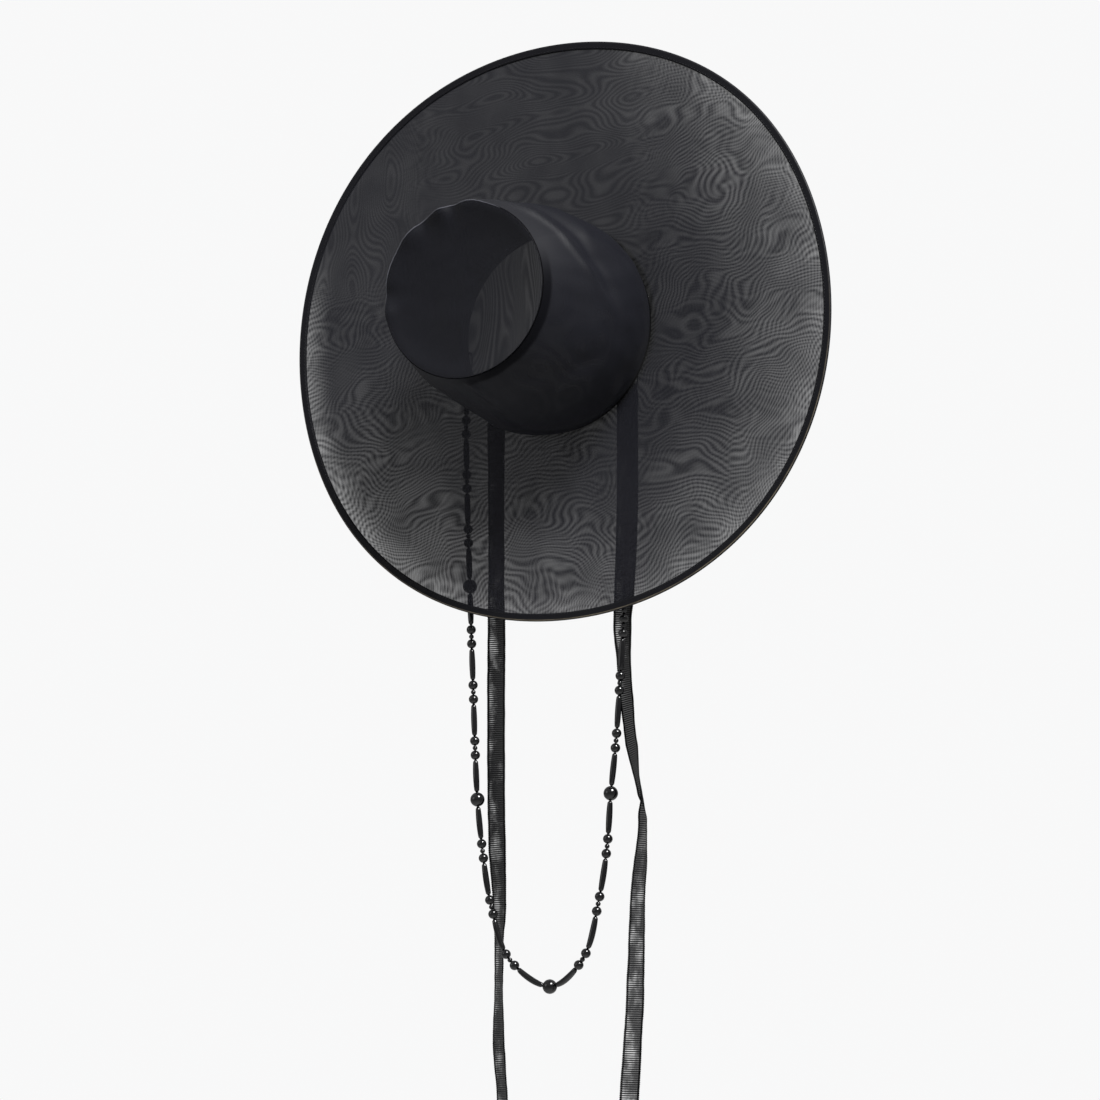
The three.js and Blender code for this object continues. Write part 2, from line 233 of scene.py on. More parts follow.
def eased(low, high, value):
    """Goes smoothly from 0 to 1 as the value goes from low to high."""
    share = min(1, max(0, (value - low) / (high - low)))
    return share * share * (3 - 2 * share)


def waved(angle, waves):
    return sum(wave.size * cos(wave.order * angle - radians(wave.phase)) for wave in waves)


def crumpled(point, crumples):
    return sum(height * noise.noise(point * fine) for height, fine in crumples)


def rim_radius(angle):
    return sizes().brim_radius * (1 + waved(angle, BRIM_LOBES))


def brim_middle(angle, radius):
    """How far back the middle of the brim's cloth is: dished to the crown's side, with waves that grow to the rim."""
    foot = sizes().foot_radius
    share = (radius - foot) / (rim_radius(angle) - foot)
    return -sizes().brim_dish * share + share * share * waved(angle, BRIM_WAVES)


def beside(angle, form):
    """1 at the angle of the form, which is a fold or a pucker, and nothing away from it."""
    return bell(angle_between(angle, form.angle), radians(form.wide))


def fold_out(angle, share):
    out = sum(fold.out * beside(angle, fold) * bell(share - fold.share, fold.tall) for fold in CROWN_FOLDS)
    return sizes().foot_radius * out


def pucker_rise(angle):
    return sum(pucker.rise * beside(angle, pucker) for pucker in TOP_PUCKERS)


def crease_out(angle, share):
    """How far the sharper creases stand out on the unrolled wall. Each one fades toward its last point."""
    out, s = 0.0, sizes()
    here = Vector((angle_between(angle, 0) * s.foot_radius, share * s.crown_height))
    for crease in CROWN_CREASES:
        line = [Vector((radians(turn) * s.foot_radius, part * s.crown_height)) for turn, part in crease.through]
        (gap, along), step = min((gap_to(here, *ends), step) for step, ends in enumerate(zip(line, line[1:])))
        fade = eased(1.0, 0.6, (step + along) / (len(line) - 1))
        out += crease.out * bell(gap, crease.wide) * fade
    return out


def gap_to(point, start, end):
    """How far a point is from a segment, and how far along the segment its closest place is, from 0 to 1."""
    run = end - start
    along = min(1, max(0, (point - start).dot(run) / run.length_squared))
    return (point - start - run * along).length, along


def crown_point(angle, share, inset, depth=0.0):
    """A point of the crown's wall, inset from its outer face. Share 0 is the foot and share 1 the top seam."""
    s = sizes()
    swell = 4 * share * (1 - share)
    radius = s.foot_radius + (s.top_radius - s.foot_radius) * share + s.crown_bulge * swell - inset
    radius += fold_out(angle, share) * min(1, max(0, share) / FOLDS_FROM)
    rise = max(0, share) ** PUCKER_POWER * pucker_rise(angle)
    point = at(angle, radius, -share * s.crown_height - rise + depth)
    around = Vector((cos(angle) * CRUMPLES_ROUND, sin(angle) * CRUMPLES_ROUND, share * CRUMPLES_TALL))
    soft = crumpled(around, WALL_CRUMPLES) * eased(1.0, 0.75, share)
    soft += crease_out(angle, share) * eased(1.0, 0.95, share)
    point += at(angle, soft * eased(0.02, 0.25, share), 0)
    return point + CROWN_LEAN * share + CROWN_SAG * swell


def layered(shares, core=0, front=0):
    """The outline of two layers of cloth: out from the core through the shares in front, and back at a depth of 1."""
    return [(core + share, front) for share in shares] + [(core + share, 1) for share in reversed(shares)]


def spun(profile, steps, closed=True, axis=(0, 1, 0)):
    """A bmesh of the profile, points of radius and place along the axis, spun a full turn round it."""
    bm = bmesh.new()
    verts = [bm.verts.new(Vector((radius, 0, 0)) + Vector(axis) * place) for radius, place in profile]
    edges = [bm.edges.new(pair) for pair in zip(verts, verts[1:])]
    if closed:
        edges.append(bm.edges.new((verts[-1], verts[0])))
    bmesh.ops.spin(
        bm, geom=verts + edges, cent=(0, 0, 0), axis=axis, dvec=(0, 0, 0), angle=FULL_TURN, steps=steps,
        use_merge=True, use_duplicate=False,
    )
    bmesh.ops.remove_doubles(bm, verts=bm.verts, dist=1e-7)
    bmesh.ops.recalc_face_normals(bm, faces=bm.faces)
    return bm


def rings_out(count):
    return [ring / count for ring in range(count + 1)]


def crisp_rings(count):
    """Shares from 0 to 1, with one more close to each end, which keeps the shading crisp there."""
    near = 0.003
    return [0, near, *rings_out(count)[1:-1], 1 - near, 1]


def joined(bm, other):
    """Adds another bmesh to this one."""
    mesh = bpy.data.meshes.new("joined")
    other.to_mesh(mesh)
    other.free()
    bm.from_mesh(mesh)
    bpy.data.meshes.remove(mesh)


def stitch(bm, place, turn, size):
    """Adds a stitch, of these half sizes in millimetres."""
    shape = Matrix.LocRotScale(place, turn, Vector(size) * MM)
    bmesh.ops.create_icosphere(bm, subdivisions=1, radius=1, matrix=shape)


def made(name, bm, materials):
    """The bmesh as an object of the scene."""
    mesh = bpy.data.meshes.new(name)
    bm.to_mesh(mesh)
    bm.free()
    for material in materials:
        mesh.materials.append(material)
    thing = bpy.data.objects.new(name, mesh)
    bpy.context.scene.collection.objects.link(thing)
    return thing


def finished(name, bm, materials, slot, *nodes):
    """The bmesh, drawn round the head opening's middle, as a piece of the hat that stands for its CAD nodes."""
    bmesh.ops.translate(bm, verts=bm.verts, vec=opening_middle())
    for face in bm.faces:
        face.smooth = True
    piece = made(name, bm, materials)
    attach(piece, BODY)
    if nodes:
        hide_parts(*nodes)
    return piece


class Nodes:
    """The nodes of a tree, added one at a time. Each input is a socket or a plain value."""

    def __init__(self, tree):
        self.tree = tree

    def add(self, kind, values, out=0, **settings):
        node = self.tree.nodes.new("ShaderNode" + kind)
        for key, value in settings.items():
            setattr(node, key, value)
        for key, value in values.items():
            self.feed(node.inputs[key], value)
        return node.outputs[out]

    def feed(self, socket, value):
        if isinstance(value, bpy.types.NodeSocket):
            self.tree.links.new(value, socket)
        else:
            socket.default_value = value

    def ramp(self, value, low, high, start=0.0, end=1.0, linear=False):
        """Goes from start to end as the value goes from low to high, smoothly or in a straight line."""
        values = {"Value": value, "From Min": low, "From Max": high, "To Min": start, "To Max": end}
        return self.add("MapRange", values, interpolation_type="LINEAR" if linear else "SMOOTHSTEP")


class Finish(Nodes):
    """A material and what drives its shader."""

    def __init__(self, name):
        self.material = bpy.data.materials.new(name)
        self.material.use_nodes = True
        super().__init__(self.material.node_tree)
        self.shader = self.tree.nodes["Principled BSDF"]

    def shade(self, **values):
        """Sets the shader's inputs, named in small letters with underscores, and gives the material."""
        names = {key.replace(" ", "_").lower(): key for key in self.shader.inputs.keys()}
        for key, value in values.items():
            self.feed(self.shader.inputs[names[key]], value)
        return self.material

    def calc(self, operation, first, second=0.0, third=0.0):
        return self.add("Math", {0: first, 1: second, 2: third}, operation=operation)

    def times(self, first, second, plus=None):
        if plus is None:
            return self.calc("MULTIPLY", first, second)
        return self.calc("MULTIPLY_ADD", first, second, plus)

    def blend(self, share, first, second):
        """The first value, or the second as the share goes to 1."""
        return self.times(share, self.calc("SUBTRACT", second, first), first)

    def tint(self, share, first, second):
        """The first colour, or the second as the share goes to 1."""
        return self.add("Mix", {0: share, 6: (*first, 1), 7: (*second, 1)}, out=2, data_type="RGBA")

    def toward(self, heading):
        """How far out from the hat's middle a place lies, in one direction round the hat."""
        turn = radians(heading)
        values = {0: self.place(shift=-opening_middle()), 1: (cos(turn), 0, sin(turn))}
        return self.add("VectorMath", values, out="Value", operation="DOT_PRODUCT")

    def place(self, scale=(1, 1, 1), shift=(0, 0, 0)):
        """Object coordinates, stretched and then shifted."""
        coordinates = self.add("TexCoord", {}, out="Object")
        return self.add("Mapping", {"Vector": coordinates, "Scale": scale, "Location": shift})

    def axis(self, vector, name):
        return self.add("SeparateXYZ", {"Vector": vector}, out=name)

    def mottle(self, scale, detail=2.0, roughness=0.5, vector=None):
        values = {"Vector": vector or self.place(), "Scale": scale, "Detail": detail, "Roughness": roughness}
        return self.add("TexNoise", values)

    def fringes(self, stretch, scale, count, slope=(0, 0, 0), detail=1.0):
        """Contour lines of a slow mottle that lies on a slope, from 0 to 1, such as the moire of two fine weaves."""
        vector = self.place(scale=stretch)
        field = self.mottle(scale, detail, 0.4, vector)
        sloped = self.add("VectorMath", {0: vector, 1: slope}, out="Value", operation="DOT_PRODUCT")
        wave = self.calc("SINE", self.times(self.times(field, count, sloped), FULL_TURN))
        return self.times(wave, 0.5, 0.5)

    def threads(self, vector, axis, pitch, waver=0.4):
        scale = 1 / pitch / BANDS_TO_UNIT
        values = {"Vector": vector, "Scale": scale, "Distortion": waver, "Detail": 1.0, "Detail Scale": 0.3}
        return self.add("TexWave", values, out="Fac", bands_direction=axis, wave_profile="SIN")

    def bump(self, height, distance, strength):
        return self.add("Bump", {"Height": height, "Distance": distance, "Strength": strength})

    def woven(self, distance=0.06 * MM, strength=0.4):
        """The bump of a plain weave that faces the crown's side."""
        flat = self.place()
        weave = self.times(self.threads(flat, "X", WEAVE_PITCH), self.threads(flat, "Z", WEAVE_PITCH))
        return self.bump(weave, distance, strength)


def brim_gauze():
    """Two sheer layers with a moire. How much they let through is painted light and shade: little near the crown and to
    the upper left, standing for the hat's shade on a wall behind, and more to the right, below and along the rim,
    standing for that wall lit. The moire is strong there.
    """
    cloth = Finish("brim gauze")
    flat = cloth.place(scale=(1, 0, 1), shift=-opening_middle())
    rim, foot = sizes().brim_radius, sizes().foot_radius
    x = cloth.calc("DIVIDE", cloth.axis(flat, "X"), rim)
    z = cloth.calc("DIVIDE", cloth.axis(flat, "Z"), rim)
    radius = cloth.add("VectorMath", {0: flat}, out="Value", operation="LENGTH")
    outward = cloth.ramp(radius, foot, rim, linear=True)
    rightward = cloth.ramp(cloth.times(z, -0.05, x), 0.0, 0.72)
    downward = cloth.ramp(cloth.times(x, 0.15, z), 0.0, -0.9)
    # Painted light: the brim lets more through to the right, below and by the rim's left edge, standing for a lit wall
    # behind it.
    painted_light = cloth.calc("MAXIMUM", rightward, cloth.times(downward, 0.75))
    edge = cloth.calc("MAXIMUM", rightward, cloth.ramp(z, 0.4, 0.0))
    edge = cloth.times(edge, cloth.ramp(x, -0.55, -0.9, 1.0, 2.1))

    islands = cloth.fringes((0.55, 0, 1.4), 16, 42)
    upright = cloth.fringes((1.2, 0, 0.6), 14, 48)
    still = cloth.blend(cloth.ramp(x, -0.35, -0.7), islands, upright)
    level = cloth.fringes((0.6, 0, 1), 17, 25, slope=(0, 0, 215), detail=2.0)
    slanted = cloth.fringes((1, 1, 1), 15, 22, slope=(165, 0, -175), detail=2.0)
    hatch = cloth.fringes((1, 1, 1), 8, 20, slope=(400, 0, 60))
    either = cloth.ramp(cloth.mottle(19, 1.0, vector=flat), 0.42, 0.58, 0.22, 0.78)
    waves = cloth.blend(cloth.ramp(outward, 0.7, 0.95, 0.12, 0.35), cloth.blend(either, level, slanted), hatch)
    lively = cloth.ramp(cloth.calc("MAXIMUM", painted_light, cloth.times(edge, 0.5)), 0.1, 0.6)
    pattern = cloth.blend(lively, still, waves)
    contrast = cloth.blend(lively, 0.42, 0.85)

    # Painted light and shade: how much shows through, least near the crown and most toward the rim, where a wall behind
    # would be lit.
    light = cloth.ramp(outward, 0.0, 0.5, 0.017, 0.02)
    light = cloth.times(painted_light, cloth.ramp(outward, 0.25, 0.85, 0.0, 0.056), light)
    light = cloth.times(edge, cloth.ramp(outward, 0.8, 1.0, 0.0, 0.07), light)
    light = cloth.times(light, cloth.ramp(cloth.mottle(30, vector=flat), 0.3, 0.7, 0.8, 1.2))
    swing = cloth.times(cloth.times(pattern, 2.0, -1.0), contrast, 1.0)
    through = cloth.calc("SQRT", cloth.times(light, swing))
    cloth.shade(base_color=(*colours().gauze, 1), roughness=0.62, specular_ior_level=0.12, sheen_weight=0.02)
    return cloth.shade(alpha=cloth.calc("SUBTRACT", 1.0, through), normal=cloth.woven())


def crown_wall_gauze():
    """Soft cloth with painted shade at the foot and at the hem behind the seam's lower right, where the dark band is
    partly the hem's doubled cloth and partly painted shade; a painted highlight by the seam's top right, where it lets
    more through and is glossier; and a faint moire to the lower right."""
    cloth = Finish("crown side gauze")
    depth = cloth.axis(cloth.place(), "Y")
    # Painted shade: a dark band behind the seam's lower right, partly the hem's doubled cloth, and a dark band at the
    # foot, where the crown meets the brim.
    hem_and_shade = cloth.times(cloth.ramp(depth, -0.153, -0.156), cloth.ramp(cloth.toward(-38), 0.026, 0.058, 0.0, 0.62))
    dark = cloth.calc("MAXIMUM", hem_and_shade, cloth.ramp(depth, -0.014, -0.006))
    fringe = cloth.fringes((1.3, 1, 0.9), 20, 8, detail=0.5)
    moire = cloth.times(cloth.ramp(cloth.toward(-27), 0.05, 0.078), cloth.ramp(depth, -0.06, -0.09))
    moire = cloth.times(moire, fringe)
    # Painted highlight: by the seam's top right the cloth lets more through and is glossier, standing for the lit side.
    painted_light = cloth.times(cloth.ramp(cloth.toward(66), 0.04, 0.075), cloth.ramp(depth, -0.11, -0.155))
    through = cloth.times(moire, 0.026, cloth.ramp(painted_light, 0.0, 1.0, 0.038, 0.07))
    cloth.shade(base_color=cloth.tint(dark, colours().crown, colours().seam))
    gloss = cloth.times(painted_light, 0.09, cloth.ramp(dark, 0.0, 1.0, 0.08, 0.0))
    cloth.shade(roughness=0.5, specular_ior_level=gloss, sheen_weight=0.01, sheen_roughness=0.3, normal=cloth.woven())
    return cloth.shade(alpha=cloth.times(through, cloth.calc("SUBTRACT", dark, 1.0), 1.0))


def crown_panel_gauze():
    """Soft cloth with fine upright fringes, which lets a little more light through to the right."""
    cloth = Finish("crown top gauze")
    fringe = cloth.fringes((1.8, 1, 0.4), 13, 48, detail=1.5)
    through = cloth.ramp(fringe, 0.0, 1.0, 0.075, 0.14)
    through = cloth.times(through, cloth.ramp(cloth.toward(-15), 0.0, 0.07, 0.8, 1.28))
    cloth.shade(base_color=(*colours().crown, 1), roughness=0.5, specular_ior_level=0.12)
    cloth.shade(sheen_weight=0.02, sheen_roughness=0.3, normal=cloth.woven())
    return cloth.shade(alpha=cloth.calc("SUBTRACT", 1.0, through))


def binding_tape():
    cloth = Finish("binding tape")
    # Worn places, which change only the roughness.
    worn_and_lit = cloth.mottle(90, 3)
    cloth.shade(base_color=(*colours().tape, 1), roughness=cloth.ramp(worn_and_lit, 0.3, 0.7, 0.5, 0.7))
    return cloth.shade(specular_ior_level=0.12, sheen_weight=0.01, normal=cloth.woven(0.1 * MM, 0.6))


def highlight_tape():
    """The tape where it is drawn tight over the wire, with a painted highlight in a lighter brown, most of all at the
    bottom.
    """
    cloth = Finish("worn tape")
    low = cloth.ramp(cloth.toward(-80), -0.02, 0.22)
    worn_and_lit = cloth.times(low, cloth.ramp(cloth.mottle(60, 3), 0.3, 0.6, 0.4, 1.0))
    cloth.shade(base_color=cloth.tint(worn_and_lit, colours().tape, colours().worn_and_lit), roughness=0.4)
    return cloth.shade(specular_ior_level=0.3, normal=cloth.woven(0.05 * MM, 0.3))


def seam_cloth():
    cloth = Finish("seam cloth")
    return cloth.shade(base_color=(*colours().seam, 1), roughness=0.95, specular_ior_level=0.02)


def lit_seam_fold():
    """The fold beside the welt, with a painted highlight where the cloth is gathered."""
    cloth = Finish("seam fold")
    # Painted highlight: the fold's colour turns light where the cloth is gathered.
    gathered = cloth.ramp(cloth.toward(GATHERED_AT), 0.015, 0.045)
    cloth.shade(base_color=cloth.tint(gathered, colours().seam, colours().fold), roughness=0.6)
    return cloth.shade(specular_ior_level=0.1)


def sewing_thread():
    thread = Finish("sewing thread")
    ply = thread.threads(thread.place(), "DIAGONAL", 0.5 * MM)
    thread.shade(base_color=(*colours().tape, 1), roughness=0.5, specular_ior_level=0.25)
    return thread.shade(normal=thread.bump(ply, 0.05 * MM, 0.6))


def ribbon_satin():
    """Ribs cross the ribbon and follow its UV map, which counts metres across it and along it. Light comes through
    between the ribs in patches, and most of all low on the right ribbon."""
    cloth = Finish("ribbed satin")
    uv = cloth.add("UVMap", {}, uv_map="UVMap")
    ribs = cloth.threads(uv, "Y", RIB_PITCH, 0.7)
    patches = cloth.mottle(1.0, 3.5, 0.6, cloth.add("Mapping", {"Vector": uv, "Scale": (62, 36, 1)}))
    here = cloth.place()
    height, right = cloth.axis(here, "Z"), cloth.ramp(cloth.axis(here, "X"), 0.0, 0.02)
    thin = cloth.times(cloth.ramp(height, -0.5, -0.62), right)
    twist = cloth.times(cloth.ramp(height, -0.35, -0.41), cloth.ramp(height, -0.54, -0.48))
    twist = cloth.times(twist, right)
    half = sizes().ribbon_width / 2
    aside = cloth.calc("SUBTRACT", cloth.axis(uv, "X"), half)
    lean = cloth.blend(thin, -10.0, 9.0)
    patches = cloth.times(aside, lean, cloth.times(thin, 0.04, patches))
    sheer = cloth.blend(twist, cloth.ramp(patches, 0.46, 0.72, 0.1, 0.66), 0.3)
    sheer = cloth.times(thin, 0.2, sheer)
    inner = half - SELVAGE
    middle = cloth.ramp(cloth.calc("ABSOLUTE", aside), inner, inner - 1 * MM)
    through = cloth.times(cloth.times(sheer, middle), cloth.ramp(ribs, 0.25, 0.75))
    gloss = cloth.times(cloth.ramp(twist, 0.0, 1.0, 0.5, 0.02), cloth.blend(middle, 0.2, 1.0))
    gloss = cloth.times(gloss, cloth.ramp(ribs, 0.2, 0.7, 0.15, 1.0))
    cloth.shade(base_color=cloth.tint(middle, colours().seam, colours().ribbon), specular_ior_level=gloss)
    cloth.shade(roughness=cloth.ramp(twist, 0.0, 1.0, 0.3, 0.5))
    return cloth.shade(alpha=cloth.calc("SUBTRACT", 1.0, through), normal=cloth.bump(ribs, 0.4 * MM, 0.9))


def bead_gloss():
    gloss = Finish("polished beads")
    wear = gloss.mottle(420, 3.0)
    gloss.shade(base_color=(*colours().bead, 1), roughness=gloss.ramp(wear, 0.35, 0.7, 0.08, 0.18))
    return gloss.shade(specular_ior_level=0.5, normal=gloss.bump(wear, 0.05 * MM, 0.3))


def pale_floor():
    floor = Finish("pale floor")
    marks = floor.mottle(3, 4.0)
    return floor.shade(base_color=(0.86, 0.86, 0.86, 1), roughness=floor.ramp(marks, 0.3, 0.7, 0.6, 0.8))


def between(corners, share):
    """A point of a centripetal curve, at its share of the way from the second corner to the third."""
    knots = [0.0]
    for here, there in zip(corners, corners[1:]):
        knots.append(knots[-1] + sqrt((there - here).length))
    now = knots[1] + share * (knots[2] - knots[1])
    first = [corners[i].lerp(corners[i + 1], (now - knots[i]) / (knots[i + 1] - knots[i])) for i in range(3)]
    second = [first[i].lerp(first[i + 1], (now - knots[i]) / (knots[i + 2] - knots[i])) for i in range(2)]
    return second[0].lerp(second[1], share)


def smooth_route(places):
    """Points along the smooth line that the CAD follows through the places, which are in millimetres."""
    points = [Vector(place) * MM for place in places]
    corners = [points[0] * 2 - points[1], *points, points[-1] * 2 - points[-2]]
    line = [
        between(corners[index:index + 4], step / ROUTE_STEPS)
        for index in range(len(points) - 1) for step in range(ROUTE_STEPS)
    ]
    return [*line, points[-1]]


def smooth_values(values):
    """As many values as smooth_route has points, easing from each of these to the next."""
    line = [
        here + (there - here) * eased(0, 1, step / ROUTE_STEPS)
        for here, there in zip(values, values[1:]) for step in range(ROUTE_STEPS)
    ]
    return [*line, values[-1]]


class Line:
    """A line of points that can be read at any reach along it."""

    def __init__(self, points):
        self.points = points
        self.reach = [0.0]
        for here, there in zip(points, points[1:]):
            self.reach.append(self.reach[-1] + (there - here).length)
        self.length = self.reach[-1]

    def read(self, values, reach):
        """The value at the reach, of values that belong to the points."""
        index = min(max(bisect.bisect_right(self.reach, reach) - 1, 0), len(self.points) - 2)
        share = (reach - self.reach[index]) / (self.reach[index + 1] - self.reach[index])
        return values[index] + (values[index + 1] - values[index]) * share

    def point(self, reach):
        return self.read(self.points, reach)

    def along(self, reach, span):
        low, high = max(0, reach - span), min(self.length, reach + span)
        return (self.point(high) - self.point(low)).normalized()


def stood(place, direction):
    """The matrix that stands a shape's Z axis at the place, along the direction."""
    return Matrix.Translation(place) @ direction.to_track_quat("Z", "X").to_matrix().to_4x4()


class OBJECT_OT_gat_stage(bpy.types.Operator):
    """The camera where the photograph was taken, soft lights, and a pale floor far below"""
    bl_idname = "object.gat_stage"
    bl_label = "Stage"

    def execute(self, context):
        scene = context.scene
        scene.view_settings.view_transform = "Standard"
        level = cos(CAMERA_RISE)
        back = Vector((sin(CAMERA_AZIMUTH) * level, -cos(CAMERA_AZIMUTH) * level, sin(CAMERA_RISE)))
        data = bpy.data.cameras.new("front_camera")
        data.sensor_width = SENSOR
        data.lens = LENS
        scene.camera = self.aimed(data, CAMERA_TARGET + back * CAMERA_DISTANCE, -back)
        for name, place, size, power in LIGHTS:
            lamp = bpy.data.lights.new(name, "AREA")
            lamp.size = size
            lamp.energy = power
            self.aimed(lamp, Vector(place), LIGHT_AIM - Vector(place))
        self.surroundings(scene)
        self.floor()
        return {"FINISHED"}

    def aimed(self, data, place, direction):
        """The object of a camera or a lamp, which looks in the direction from its place."""
        thing = bpy.data.objects.new(data.name, data)
        thing.location = place
        thing.rotation_mode = "QUATERNION"
        thing.rotation_quaternion = direction.to_track_quat("-Z", "Y")
        bpy.context.scene.collection.objects.link(thing)
        return thing

    def surroundings(self, scene):
        """A pale room, seen as it is and dimmer in its lower half as a source of light."""
        world = bpy.data.worlds.new("pale room")
        world.use_nodes = True
        room = Nodes(world.node_tree)
        seen = room.tree.nodes["Background"]
        seen.inputs["Color"].default_value = (*colours().background, 1)
        direction = room.add("TexCoord", {}, out="Generated")
        height = room.add("SeparateXYZ", {0: direction}, out="Z")
        light = room.add("Background", {"Strength": room.ramp(height, -0.5, 0.7, 0.1, 0.7, linear=True)})
        ray = room.add("LightPath", {}, out="Is Camera Ray")
        mixed = room.add("MixShader", {0: ray, 1: light, 2: seen.outputs[0]})
        room.feed(room.tree.nodes["World Output"].inputs["Surface"], mixed)
        scene.world = world

    def floor(self):
        bm = bmesh.new()
        bmesh.ops.create_grid(bm, x_segments=8, y_segments=8, size=FLOOR_REACH)
        bmesh.ops.translate(bm, verts=bm.verts, vec=(0, 0, FLOOR_HEIGHT))
        floor = made("floor", bm, [pale_floor()])


class OBJECT_OT_gat_ribbons(bpy.types.Operator):
    """The two tie ribbons, with ribs across them and small loops along their edges"""
    bl_idname = "object.gat_ribbons"
    bl_label = "Ribbons"
    tooth = RIB_PITCH / 2
    picot = 0.6 * MM
    cloth = 0.35 * MM
    cup = 1.2 * MM
    twist_cup = 8 * MM
    twist_span = 22 * MM
    twist_turn = radians(-63.5)
    stitch_rows = (1.6 * MM, 5.2 * MM)
    stitch_sides = (-7, -4.2, -1.4, 1.4, 4.2, 7)

    def execute(self, context):
        satin = ribbon_satin()
        for name, rows in RIBBONS.items():
            line = Line(smooth_route([row[:3] for row in rows]))
            turns = smooth_values([radians(row[3]) for row in rows])
            tips = smooth_values([radians(row[4]) for row in rows])
            ribbed = self.cloth_along(line, turns, tips)
            piece = finished("satin_" + name, ribbed, [satin], "ribbon_gauze", name)
            wall = piece.modifiers.new("cloth", "SOLIDIFY")
            wall.thickness = self.cloth
            wall.offset = 0
            path = [point + opening_middle() for point in line.points]
            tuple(path[0])
        self.stitches()
        return {"FINISHED"}

    def stitches(self):
        """Two rows of thread that hold each ribbon's top to the headband."""
        bm = bmesh.new()
        for rows in RIBBONS.values():
            top = Vector(rows[0][:3]) * MM
            tip = radians(rows[0][4])
            wide = Vector((cos(tip), 0, -sin(tip)))
            turn = wide.to_track_quat("X", "Y")
            inward = Vector((-top.x, 0, -top.z)).normalized() * 0.35 * MM
            for depth in self.stitch_rows:
                for side in self.stitch_sides:
                    stitch(bm, top + Vector((0, depth, 0)) + wide * side * MM + inward, turn, (1.1, 0.3, 0.3))
        finished("ribbon_stitches", bm, [sewing_thread()], "ribbon_gauze")

    def twist_at(self, line, turns):
        """How far along the line the ribbon turns its edge to the camera, or past its end if it never does."""
        turned = [reach for reach, turn in zip(line.reach, turns) if turn < self.twist_turn]
        return turned[0] if turned else 2 * line.length

    def cloth_along(self, line, turns, tips):
        width = sizes().ribbon_width
        twist_reach = self.twist_at(line, turns)
        across, steps = 10, round(line.length / self.tooth)
        bm = bmesh.new()
        uv = bm.loops.layers.uv.new("UVMap")
        bmesh.ops.create_grid(bm, x_segments=across, y_segments=steps, size=0.5, calc_uvs=True)
        for face in bm.faces:
            for loop in face.loops:
                loop[uv].uv = ((loop.vert.co.x + 0.5) * width, (loop.vert.co.y + 0.5) * line.length)
        for vert in bm.verts:
            side, share = vert.co.x, vert.co.y + 0.5
            reach = share * line.length
            turn, tip = line.read(turns, reach), line.read(tips, reach)
            wide = Vector((cos(turn) * cos(tip), sin(turn), -cos(turn) * sin(tip)))
            along = line.along(reach, 3 * MM)
            wide = (wide - along * wide.dot(along)).normalized()
            face = along.cross(wide)
            out = side * (width - self.picot)
            if abs(side) > 0.499 and round(share * steps) % 2:
                out += copysign(self.picot, side)
            hang = eased(0, 60 * MM, reach)
            twist = bell(reach - twist_reach, self.twist_span)
            cup = -hang * (self.cup + self.twist_cup * twist) * (0.25 - side * side)
            ripple = 0.7 * MM * noise.noise(Vector((side * 1.5, reach * 45, turn)))
            ripple += 0.25 * MM * noise.noise(Vector((side * 2, reach * 130, turn)))
            vert.co = line.point(reach) + wide * out + face * (cup + hang * ripple)
        return bm


